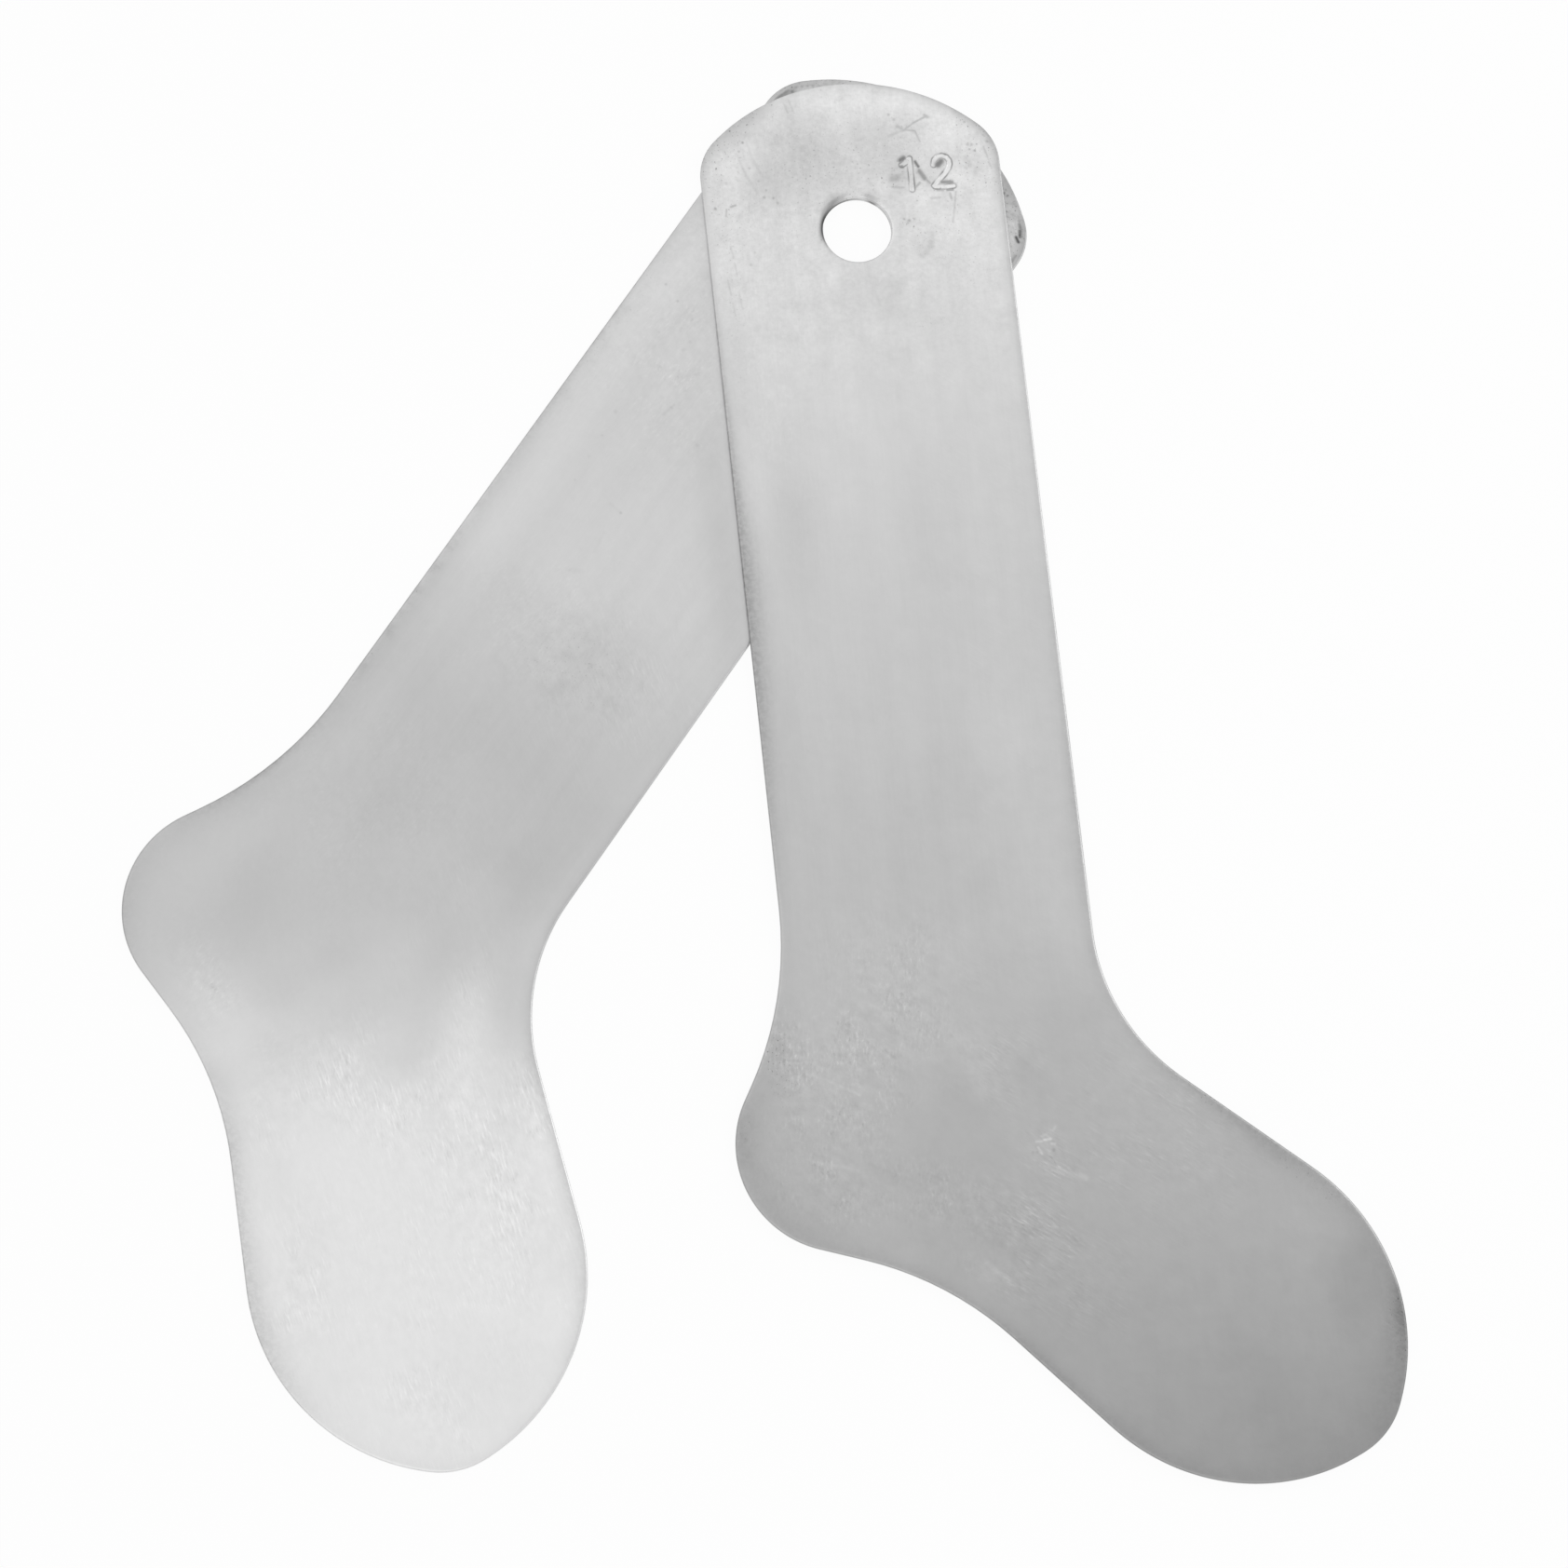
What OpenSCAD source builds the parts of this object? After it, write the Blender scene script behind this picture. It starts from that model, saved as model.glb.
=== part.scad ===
// Pair of flat sock stretchers in sheet aluminium, stacked at their hanging holes and fanned apart.
// Millimetres. +Z is up, the pair lies flat, and the origin is on the hole axis at the resting face.

/* [Sheet] */
// Thickness of the sheet
sheet_t = 2; // [1:0.1:4]
// How far in from the outer edge the sheet is eased, above and below
ease_in = 1.2; // [0.3:0.1:3]
// How much that easing takes off the sheet at the edge, on each face
ease_drop = 0.6; // [0.1:0.05:1]
// Air between the two stacked plates
stack_gap = 0.2; // [0.1:0.05:0.8]

/* [Hanging hole] */
// Diameter of the hanging hole
hole_d = 31; // [12:0.5:44]

/* [Pair] */
// Angle between the two legs
fan_angle = 39.3; // [0:0.1:180]

/* [Leg] */
// Width across the leg at the shoulders
cuff_w = 136; // [100:0.5:180]
// Width across the leg just above the ankle
ankle_w = 134.5; // [100:0.5:180]
// Hole centre up to the top edge
crown_h = 71; // [60:0.5:110]
// Top edge down to the centres of the shoulder roundings
shoulder_drop = 42; // [35:0.5:60]
// Radius of the two shoulders
shoulder_r = 25; // [10:0.5:30]
// Straight run between the top arch and a shoulder
crown_flat = 1.5; // [1:0.5:20]
// Hole centre down to the heel centre
leg_l = 413.5; // [300:0.5:520]

/* [Heel] */
// How far the heel stands out behind the leg
heel_out = 29; // [10:0.5:45]
// Radius of the heel
heel_r = 46; // [30:0.5:60]
// Radius of the hollow above the heel
achilles_r = 153; // [80:1:240]
// Straight run between that hollow and the heel
achilles_flat = 7; // [1:0.5:30]

/* [Sole] */
// Radius of the hollow under the arch
arch_r = 141; // [90:1:240]
// Straight run between the heel and the arch
heel_flat = 20; // [1:0.5:40]
// Straight run between the arch and the ball
sole_flat = 55; // [5:0.5:80]

/* [Toe] */
// Leg axis forward to the ball centre
ball_x = 115.5; // [100:0.5:130]
// Heel centre down to the lowest point of the ball
ball_drop = 159; // [140:0.5:175]
// Radius of the ball
ball_r = 88.5; // [75:0.5:110]
// Leg axis forward to the front of the toe
toe_reach = 180; // [165:0.5:195]
// Heel centre down to the centre of the toe front
toe_drop = 95.5; // [80:0.5:110]
// Radius of the toe front
toe_front_r = 89.5; // [72:0.5:115]
// Radius of the corner between the ball and the toe front
toe_r = 36; // [15:0.5:50]
// Straight run on each side of that corner
toe_flat = 1; // [0.5:0.5:10]

/* [Instep] */
// Radius of the hollow between leg and foot
instep_r = 88; // [50:0.5:140]
// Straight run along the instep
instep_flat = 67.5; // [10:0.5:110]

/* [Hidden] */
// Largest turn between neighbouring points of a round stretch, in degrees
arc_step = 3;
// Largest share of the thickness that one easing may take
ease_share = 0.4;
// A cut runs past a face by this much
cut_past = 1;
$fn = 96;

// Sides of a right-angled triangle
function long_side(a, b) = sqrt(a * a + b * b);
function short_side(c, a) = sqrt(c * c - a * a);

// Centre that lies d1 from p1 and d2 from p2, on the left of the way from p1 to p2
function meet(p1, d1, p2, d2) =
    let (way = p2 - p1)
    let (l = norm(way))
    let (along = (d1 * d1 - d2 * d2 + l * l) / (2 * l))
    p1 + along * way / l + short_side(d1, along) * [-way.y, way.x] / l;

// Centres of the circles that the outline runs round
shoulder_x = cuff_w / 2 - shoulder_r;
shoulder_y = crown_h - shoulder_drop;
crown_span = shoulder_x * shoulder_x - crown_flat * crown_flat;
crown_r = (shoulder_drop + shoulder_r + crown_span / (shoulder_drop - shoulder_r)) / 2;
heel = [-ankle_w / 2 - heel_out + heel_r, -leg_l];
achilles_x = -ankle_w / 2 - achilles_r;
achilles_rise = short_side(long_side(achilles_r + heel_r, achilles_flat), heel.x - achilles_x);
ball = [ball_x, heel.y - ball_drop + ball_r];
toe_front = [toe_reach - toe_front_r, heel.y - toe_drop];
arch = meet(
    ball, long_side(ball_r + arch_r, sole_flat),
    heel, long_side(heel_r + arch_r, heel_flat)
);
toe = meet(
    ball, long_side(ball_r - toe_r, toe_flat),
    toe_front, long_side(toe_front_r - toe_r, toe_flat)
);
instep_x = ankle_w / 2 + instep_r;
instep_rise = short_side(long_side(instep_r + toe_front_r, instep_flat), instep_x - toe_front.x);

// Inner points of the leg, ankle and foot, each in sight of the stretch of edge that it closes
inner = [[0, 0], [0, heel.y], toe_front];
leg = 0;
ankle = 1;
foot = 2;

// The circles in order round the plate, as [x, y, radius, inner point], hollow ones with a minus
rounds = [
    [0, crown_h - crown_r, crown_r, leg],
    [-shoulder_x, shoulder_y, shoulder_r, leg],
    [achilles_x, heel.y + achilles_rise, -achilles_r, ankle],
    [heel.x, heel.y, heel_r, ankle],
    [arch.x, arch.y, -arch_r, ankle],
    [ball.x, ball.y, ball_r, foot],
    [toe.x, toe.y, toe_r, foot],
    [toe_front.x, toe_front.y, toe_front_r, foot],
    [instep_x, toe_front.y + instep_rise, -instep_r, ankle],
    [shoulder_x, shoulder_y, shoulder_r, leg]
];
last = len(rounds) - 1;

// Direction of the straight run that leaves circle a and joins circle b
function heading(a, b) =
    atan2(b.y - a.y, b.x - a.x) + asin((a.z - b.z) / long_side(b.x - a.x, b.y - a.y));

// Turn from one direction to another, between -180 and 180 degrees
function turn(from, to) = to - from - 360 * floor((to - from + 180) / 360);

// Direction in which the edge leaves each circle, the turn it makes there and the steps it takes
headings = [for (i = [0:last]) heading(rounds[i], rounds[i == last ? 0 : i + 1])];
sweeps = [for (i = [0:last]) turn(headings[i == 0 ? last : i - 1], headings[i])];
steps = [for (s = sweeps) ceil(abs(s) / arc_step)];

// The edge as a ring of points at one height, drawn in all round by some amount
function ring(z, drawn_in) = [
    for (i = [0:last])
        for (k = [0:steps[i]])
            let (h = headings[i] - sweeps[i] * (1 - k / steps[i]))
            let (r = rounds[i].z - drawn_in)
            [rounds[i].x + r * sin(h), rounds[i].y - r * cos(h), z]
];

// The inner point that each point of a ring is closed towards
closes_to = [for (i = [0:last]) for (k = [0:steps[i]]) rounds[i][3]];
ring_n = len(closes_to);
function next(i) = (i + 1) % ring_n;

// Triangles that close ring number r towards the inner points, which start at number c
function closing(r, c) = [
    for (i = [0:ring_n - 1])
        each [
            [r * ring_n + i, r * ring_n + next(i), c + closes_to[i]],
            if (closes_to[i] != closes_to[next(i)])
                [r * ring_n + next(i), c + closes_to[next(i)], c + closes_to[i]]
        ]
];
function turned_over(faces) = [for (f = faces) [f.z, f.y, f.x]];

// Heights of the rings and how far each is drawn in
drop = min(ease_drop, ease_share * sheet_t);
levels = [[0, ease_in], [drop, 0], [sheet_t - drop, 0], [sheet_t, ease_in]];
top_ring = len(levels) - 1;

// A flat sock-shaped plate with eased edges, leg along Y and toe towards +X, lying on Z = 0
module plate() {
    under = len(levels) * ring_n;
    over = under + len(inner);
    polyhedron(
        points = [
            for (l = levels) each ring(l[0], l[1]),
            for (p = inner) [p.x, p.y, 0],
            for (p = inner) [p.x, p.y, sheet_t]
        ],
        faces = [
            for (l = [0:top_ring - 1])
                for (i = [0:ring_n - 1])
                    [
                        l * ring_n + i,
                        (l + 1) * ring_n + i,
                        (l + 1) * ring_n + next(i),
                        l * ring_n + next(i)
                    ],
            each closing(0, under),
            each turned_over(closing(top_ring, over))
        ]
    );
}

// One stretcher: the plate with its hanging hole
module stretcher() {
    difference() {
        plate();
        translate([0, 0, -cut_past]) cylinder(h = sheet_t + 2 * cut_past, d = hole_d);
    }
}

// Upper plate of the pair
module front_stretcher() {
    color("silver") translate([0, 0, sheet_t + stack_gap]) stretcher();
}

// Lower plate of the pair, which lies on the table
module rear_stretcher() {
    color("lightgray") rotate([0, 0, -fan_angle]) stretcher();
}

front_stretcher();
rear_stretcher();
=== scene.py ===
import math

import bpy
import numpy as np
from mathutils import Matrix, Vector
from mathutils.geometry import delaunay_2d_cdt


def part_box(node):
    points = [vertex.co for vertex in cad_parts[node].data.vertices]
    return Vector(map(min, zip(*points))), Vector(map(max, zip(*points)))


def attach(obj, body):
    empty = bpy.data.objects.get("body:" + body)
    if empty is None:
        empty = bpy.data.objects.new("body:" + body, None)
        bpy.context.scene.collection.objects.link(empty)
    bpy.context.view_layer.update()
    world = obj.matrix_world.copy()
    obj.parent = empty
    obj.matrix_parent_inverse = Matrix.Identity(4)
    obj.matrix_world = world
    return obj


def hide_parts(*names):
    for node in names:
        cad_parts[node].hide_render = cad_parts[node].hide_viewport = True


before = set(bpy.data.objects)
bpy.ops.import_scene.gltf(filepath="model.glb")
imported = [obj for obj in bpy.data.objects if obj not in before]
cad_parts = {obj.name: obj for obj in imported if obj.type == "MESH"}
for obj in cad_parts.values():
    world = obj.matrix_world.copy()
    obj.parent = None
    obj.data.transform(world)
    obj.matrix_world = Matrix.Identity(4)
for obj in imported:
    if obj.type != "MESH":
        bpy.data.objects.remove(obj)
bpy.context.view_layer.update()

# Sizes are in millimetres in a plate's own frame: hanging hole at 0, leg along y, toe towards +x
MM = 0.001
SHEET_T = 2.0
HOLE_R = 15.5
FRONT_LIFT = 2.2
FAN = math.radians(-39.3)

# The CAD plate is widest at this share of its height, within this slack
WIDEST_AT = 0.3
LEVEL_SLACK = 0.05
# Most that neighbouring points of the edge are apart, and the share of a side that a corner is cut by
EDGE_STEP = 5.0
CORNER_CUT = 0.25
HOLE_POINTS = 120

# Rounding of the plate's edge and of the hole's rim: in from the edge, down from the face
EDGE_IN = np.array([0, 0.05, 0.2, 0.45, 0.85, 1.5, 2.6, 4.2, 6.4])
EDGE_DOWN = np.array([0.92, 0.62, 0.36, 0.18, 0.085, 0.04, 0.016, 0.004, 0])
RIM_IN = np.array([0, 0.07, 0.25, 0.6, 1.2, 1.9, 2.8])
RIM_DOWN = np.array([0.62, 0.36, 0.17, 0.07, 0.02, 0.005, 0])
# The edge's rounding is narrow at the crown and widens down the leg, between these distances below the hole
CROWN_SOFT, FOOT_SOFT = 0.4, 1.0
SOFTENS_FROM, SOFTENS_TO = -40, 330

# Points of a face: how far apart, and between which distances from the number and the marks
ANYWHERE = 1000
FACE_STEPS = ((4.5, 5, ANYWHERE), (1.2, 2.3, 6), (0.36, 0, 2.1))
# Height of a staggered row, as a share of the step along it
ROW_SHARE = 0.866
# How clear the points of a face stay of the innermost ring at the hole and at the edge
RIM_CLEAR, EDGE_CLEAR = 0.6, 0.5
# Points set against a ring at one time
BATCH = 800
# Least length squared of a run, and the distance at which points count as one
SHORTEST, SAME_POINT = 1e-9, 1e-6

# Size number punched beside the hole, as pen strokes
NUMBER_STROKES = [
    [(23.3, 29.4), (25.4, 30.6), (27.2, 32.4), (27.1, 25.2), (26.9, 17.2)],
    [(37.7, 28.4), (38.4, 30.9), (39.8, 32.3), (41.9, 32.7), (43.9, 31.9), (45.0, 30.2), (45.1, 28.5), (44.4, 26.5),
     (42.4, 23.9), (39.3, 20.9), (37.0, 18.4), (37.4, 18.0), (41.8, 17.6), (45.8, 17.8)],
]
# A stroke's half width at its floor and at the face, and its depth
STROKE_HALF = 0.72
STROKE_WALL = 1.40
STROKE_DEPTH = 0.34
# Lip that the punch raised: height, distance out from the stroke and half width
LIP_HIGH, LIP_OUT, LIP_HALF = 0.05, 0.5, 0.4
# Painted shade on a stroke's wall: amount and how that swings over the plate, distance in from the face's edge, half
# width
WALL_SHADE, SHADE_SWING, SWING_WAY = 0.55, 0.2, (0.83, 0.47)
SHADE_IN, SHADE_HALF = 0.2, 0.34
# Shine of a stroke's floor, and the shares of its half width between which that ends
FLOOR_SHINE, SHINE_ENDS = 0.08, (0.7, 1.2)
# A mark's wall, between these shares of its half width, and how squarely its dirt ends
MARK_WALL, MARK_FADE = (0.3, 1.2), 2.6
# Depth of dots and nicks
NICK_DEPTH = 0.02

# How a soft patch falls off from its middle
PATCH_FALL, PATCH_POWER = 0.7, 1.3
# Where scattered patches have their middles, and their lean in degrees
SCATTER_X, SCATTER_Y, SCATTER_LEAN = (-110, 190), (-600, 80), (-35, 35)
# Faint hollows in the sheet and clouds in its tone: how many, half widths, half heights, amounts
HOLLOWS = (46, (18, 42), (30, 90), (0.02, 0.12))
CLOUDS = (130, (7, 22), (9, 36), (-0.035, 0.035))
# Deepest hollow, its share on the underside, and where hollows begin and are full from the edge and from the hole
HOLLOW_MOST, HOLLOW_BELOW = 0.45, 0.6
HOLLOW_FROM_EDGE, HOLLOW_FROM_HOLE = (2, 12), (2.4, 12)
# Way along the foot, where its own tone begins and is full on that way, and how ragged the clouds make that
FOOT_FORWARD, FOOT_DOWN = 0.66, 0.75
FOOT_FROM, FOOT_FULL, FOOT_RAGGED = 268, 400, 300
# Painted shade at the hole, for the lower plate's rim lying in shadow under the front plate's hole: shares and
# how far out each reaches, how squarely it ends round the hole and outwards, and the little painted shade on
# the hole's wall all round, up to this far in on the rim's rounding
RIM_SHADE = ((0.75, 1.0), (0.25, 1.8))
SHADE_ROUND, SHADE_OUT = 3, 4
BORE_SHADE, BORE_IN = 0.1, 0.1
# How the painted shade along the edges fades inwards, the least rubbing anywhere and the most of any wear or painted
# shade
EDGE_SHADE_FADE = 1.5
RUB_LEAST = 0.12
MOST_WEAR_OR_SHADE = 2

# Patterns of the worn sheet: scale across and along the leg per millimetre, detail, roughness, lean in radians
PATTERNS = dict(
    grain=(0.9, 0.035, 3.0, 0.6, 0.0),
    streak=(0.09, 0.006, 2.0, 0.5, 0.0),
    mottle=(0.16, 0.22, 5.0, 0.68, 0.65),
    crepe=(0.17, 1.0, 2.0, 0.55, 0.65),
    crepe_at_heel=(0.80, 0.32, 3.0, 0.6, 0.12),
    scuff=(0.16, 0.60, 3.0, 0.6, 0.90),
    scuff_at_heel=(0.45, 0.30, 3.0, 0.65, 0.0),
    cloud=(0.085, 0.085, 5.0, 0.66, 0.0),
    smear=(0.17, 0.055, 4.0, 0.62, 0.1),
    speck=(0.45, 0.45, 3.0, 0.65, 0.0),
    fleck=(1.0, 0.9, 1.0, 0.4, 0.0),
    rubbed=(0.06, 0.05, 2.0, 0.5, 0.0),
)
PATTERN_MEAN = 0.5
# Where each part of the finish begins and is full: heights on the plate, places across it, values of a pattern
FROM_TO = dict(
    crown=(-110.0, 20.0),
    leg=(-400.0, -300.0),
    heel=(26.0, -10.0),
    rubbed=(0.34, 0.60),
    light_rub=(0.56, 0.74),
    dark_rub=(0.44, 0.28),
    pit=(0.66, 0.74),
    pitted=(0.12, 0.7),
    patchy=(0.44, 0.66),
    specked_edge_shade=(0.40, 0.60),
)
BUMP_STRENGTH, BUMP_METRES = 0.25, 0.00012
# Where each plate's patterns are taken from
FRONT_SHIFT, REAR_SHIFT = (40.0, 900.0, 0.0), (700.0, 1500.0, 0.0)

# Floor: half its side and its level in metres, and how white it is to the camera
FLOOR_HALF, FLOOR_LEVEL = 9, -0.0003
FLOOR_WHITE = 0.94
# Light of the sky all round, and what is added overhead
SKY_ROUND, SKY_ABOVE = 0.60, 0.18


def dots(*listed):
    """Shallow round marks: x, y, half width, dirt."""
    return [((x, y), (x, y), half, dirt, NICK_DEPTH) for x, y, half, dirt in listed]


def nicks(*listed):
    """Shallow thin marks: from, to, half width, dirt or shine."""
    return [(a, b, half, held, NICK_DEPTH) for a, b, half, held in listed]


# How each plate has worn, with painted shade among it. Tones run down the leg as height, tone: partly patina and
# partly painted shade for how the curved sheet reflects the room. The painted edge shade is a place on the edge,
# how dark it is there and how far in that reaches. A patch is its middle, half width, half height,
# lean in degrees and amount: lighter or darker for shades, stronger for rubs and stains. A mark is a knock,
# scratch or smear: from, to, half width, dirt that it holds, or shine where that is below nought, and depth.
# Painted shade round the hole, for the lower plate's rim in shadow seen through it, is a bearing in degrees, how
# far it goes each way, and amount. Foot is the tone of the foot, where that isn't the leg's, partly patina and
# partly painted light
FRONT_WEAR_AND_SHADE = dict(
    marks=[
        # Knocks round the number
        ((22.9, 32.0), (24.6, 32.9), 1.25, 0.74, 0.25), ((22.7, 29.0), (23.8, 28.5), 0.75, 0.62, 0.15),
        ((29.6, 30.7), (30.8, 28.2), 0.75, 0.76, 0.22), ((31.0, 26.2), (33.0, 22.5), 1.30, 0.58, 0.25),
        ((39.7, 28.5), (41.3, 30.1), 1.65, 0.74, 0.28), ((40.7, 20.0), (45.2, 19.8), 0.90, 0.62, 0.22),
        ((38.1, 16.1), (40.7, 15.9), 0.45, 0.36, 0.06), ((42.6, 16.0), (45.2, 15.9), 0.60, 0.56, 0.10),
        ((33.5, 21.9), (35.2, 20.0), 0.60, 0.36, 0.08), ((28.4, 18.2), (30.7, 20.3), 0.60, 0.36, 0.08),
        ((18.3, 23.0), (20.9, 23.5), 1.80, 0.28, 0.00), ((17.9, 19.2), (23.0, 18.5), 0.60, 0.22, 0.02),
        # Scratches above and below the number, and smears beside the hole and the 2
        ((36.3, 52.8), (37.5, 52.0), 0.80, 0.32, 0.05), ((37.2, 52.5), (31.3, 49.7), 0.50, 0.32, 0.05),
        ((31.3, 49.7), (26.1, 46.3), 0.50, 0.30, 0.05), ((26.1, 46.3), (18.9, 43.9), 0.70, 0.14, 0.02),
        ((23.3, 48.3), (25.2, 47.3), 0.80, 0.24, 0.03), ((26.7, 46.5), (31.2, 45.5), 0.50, 0.26, 0.04),
        ((31.2, 45.5), (32.0, 42.9), 0.50, 0.26, 0.04), ((32.0, 42.9), (32.8, 40.4), 0.45, 0.20, 0.03),
        ((43.8, 14.2), (44.1, 11.7), 0.60, 0.32, 0.05), ((35.0, 12.4), (39.0, 12.6), 0.55, 0.18, 0.02),
        ((46.4, 14.7), (45.0, 7.1), 0.50, 0.24, 0.04), ((45.0, 7.1), (43.5, 0.3), 0.50, 0.20, 0.04),
        ((33.0, -4.5), (32.4, -10.5), 1.70, 0.12, 0.00), ((32.4, -10.5), (28.0, -14.5), 1.60, 0.13, 0.00),
        ((53.0, 30.5), (53.6, 27.6), 1.80, 0.17, 0.00), ((56.8, 25.4), (56.4, 23.0), 1.40, 0.12, 0.00),
        # Scratches beside the left edge and at the right shoulder
        ((-50.7, 40.4), (-48.8, 34.3), 0.65, 0.09, 0.01), ((-48.8, 34.3), (-47.2, 29.6), 0.60, 0.13, 0.01),
        ((-47.2, 29.6), (-43.1, 21.1), 0.70, 0.10, 0.01), ((-45.6, 45.4), (-43.5, 37.7), 0.60, 0.09, 0.01),
        ((-43.5, 37.7), (-40.2, 29.1), 0.70, 0.08, 0.01), ((-24.7, 65.6), (-23.2, 59.4), 0.60, 0.12, 0.01),
        ((-27.0, 63.5), (-25.5, 58.5), 0.45, 0.11, 0.02), ((-55.6, 15.2), (-53.5, 15.7), 0.55, 0.36, 0.03),
        ((-57.7, 13.9), (-58.2, 10.9), 0.50, 0.30, 0.03), ((-57.6, -4.0), (-56.9, -9.0), 0.45, 0.15, 0.02),
        ((-56.6, -12.0), (-56.0, -18.0), 0.45, 0.13, 0.02), ((-60.5, -20.0), (-59.7, -27.0), 0.50, 0.16, 0.02),
        ((-59.3, -31.0), (-58.8, -37.0), 0.45, 0.13, 0.02), ((-56.0, -27.0), (-55.2, -34.0), 0.45, 0.13, 0.02),
        ((61.4, 35.6), (62.7, 30.4), 0.45, 0.22, 0.02), ((62.7, 30.4), (63.5, 25.8), 0.45, 0.16, 0.02),
    ] + dots(
        (20.1, 54.3, 0.7, 0.32), (22.1, 51.7, 0.7, 0.26), (21.6, 3.3, 0.6, 0.38), (23.8, 2.5, 0.8, 0.42),
        (26.2, 3.1, 0.5, 0.3), (23.1, 1.5, 0.5, 0.32), (54.3, 37.3, 0.8, 0.3), (56.1, 37.0, 0.7, 0.28),
        (54.9, 34.8, 0.5, 0.38), (57.2, 34.1, 0.6, 0.44), (52.3, 26.1, 0.9, 0.22), (54.1, 48.3, 0.6, 0.3),
        (-47.3, 45.6, 0.65, 0.5), (-49.5, 41.5, 0.6, 0.24), (-62.7, 14.6, 0.75, 0.46), (-56.6, 26.6, 0.8, 0.2),
        (-36.1, 17.9, 0.6, 0.32), (-34.5, 15.5, 0.7, 0.24), (-40.2, 18.6, 0.7, 0.3), (-49.4, -13.2, 0.8, 0.22),
        (-47.1, -7.5, 0.6, 0.18), (56.0, 50.1, 0.6, 0.3), (57.4, 48.7, 0.7, 0.34), (62.3, 41.6, 0.8, 0.4),
        (63.2, 38.0, 0.7, 0.3), (-49.0, 38.5, 0.5, 0.2), (-45.5, 33.0, 0.6, 0.22), (-42.0, 26.5, 0.5, 0.2),
        (-39.0, 22.0, 0.6, 0.24), (38.8, -424.0, 0.9, 0.22), (31.7, -424.2, 0.6, 0.2), (29.7, -424.2, 0.8, 0.15),
    ) + nicks(
        # Bright nicks and thin dark scratches by the heel
        ((31.7, -419.7), (34.0, -419.8), 0.55, -0.20), ((35.2, -419.2), (38.0, -419.1), 0.55, -0.30),
        ((34.4, -417.5), (36.6, -416.7), 0.60, -0.12), ((38.2, -421.1), (39.6, -421.3), 0.60, -0.22),
        ((32.3, -422.2), (33.6, -425.0), 0.55, -0.20), ((39.6, -415.3), (40.6, -414.1), 0.60, -0.10),
        ((32.9, -429.9), (37.8, -430.1), 1.50, -0.05), ((39.5, -432.0), (42.2, -434.2), 1.30, -0.10),
        ((43.4, -434.6), (46.5, -434.9), 1.30, -0.08), ((49.0, -435.8), (51.0, -437.3), 1.10, -0.10),
        ((-66.0, -380.2), (-53.6, -385.7), 0.60, -0.05), ((-53.6, -385.7), (-41.3, -392.9), 0.70, -0.08),
        ((-66.6, -418.4), (-57.3, -421.2), 0.70, -0.03), ((-57.3, -421.2), (-45.3, -425.3), 0.80, -0.05),
        ((4.8, -469.4), (13.4, -477.5), 1.10, -0.09), ((-40.2, -422.8), (-23.8, -431.3), 0.80, 0.035),
        ((-64.7, -375.9), (-72.5, -375.5), 0.60, 0.12), ((-28.0, -374.7), (-24.1, -378.6), 0.60, 0.12),
        ((-61.9, -432.1), (-54.3, -441.5), 0.80, 0.05), ((-15.8, -429.4), (-10.1, -432.5), 0.70, 0.06),
        ((-26.5, -456.2), (-13.2, -460.8), 1.00, 0.02), ((-11.6, -337.1), (-11.3, -342.5), 0.80, 0.08),
        ((27.3, -380.5), (31.9, -386.3), 0.90, 0.035),
    ),
    # Painted shade round the rim of the hole, standing in for the lower plate's shadowed rim seen through it
    hole_shade=[(168, 40, 0.95), (57, 13, 0.2)],
    seed=12,
    tones=[(80, 0.88), (-20, 0.835), (-98, 0.765), (-171, 0.70), (-283, 0.635), (-369, 0.603), (-435, 0.555),
           (-501, 0.492), (-567, 0.428)],
    foot=None,
    # Painted shade along the edges: a place on the edge, how dark, how far in
    edge_shading=[
        (-86, -437, 0.12, 14), (-47, -463, 0.10, 6), (-4, -487, 0.16, 2.6), (30, -522, 0.24, 3),
        (67, -557, 0.13, 4), (113, -571, 0.05, 8), (158, -557, 0.06, 18), (178, -514, 0.24, 9),
        (168, -466, 0.10, 6), (135, -430, 0.25, 5.5), (97, -395, 0.20, 2.8), (72, -355, 0.05, 3),
        (67, -306, 0.13, 4), (67, -256, 0.24, 2.2), (67, -206, 0.14, 3), (67, -156, 0.09, 2.6),
        (67, -107, 0.14, 2.8), (67, -57, 0.20, 2.8), (67, -6, 0.27, 2.6), (61, 42, 0.37, 2.6), (22, 68, 0.21, 3),
        (0, 71, 0.08, 2), (-25, 67, 0.05, 3), (-39, 61, 0.24, 4), (-47, 55, 0.30, 5), (-62, 39, 0.29, 2.8),
        (-67, -9, 0.21, 1.6), (-67, -59, 0.33, 1.9), (-67, -109, 0.38, 3), (-67, -159, 0.42, 6),
        (-67, -209, 0.36, 5.5), (-67, -259, 0.25, 3.5), (-67, -309, 0.07, 3), (-76, -358, 0.07, 5),
        (-93, -399, 0.15, 9),
    ],
    shades=[
        (40, -262, 16, 60, 5, 0.055), (46, -120, 20, 14, 15, -0.01), (-39, -125, 10, 13, 0, -0.035),
        (-14, 32, 24, 14, 20, -0.11), (-22, 50, 14, 13, 0, -0.09), (15, 46, 13, 9, 0, -0.07),
        (19, 25, 9, 10, 0, -0.09), (14, 62, 38, 7, 0, 0.07), (54, 10, 12, 44, 0, 0.08), (9, -31, 17, 14, 0, -0.06),
        (-2, -388, 7, 15, 0, -0.045), (9, -408, 8, 10, 40, -0.03), (-30, -428, 16, 4, -10, -0.03),
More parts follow.
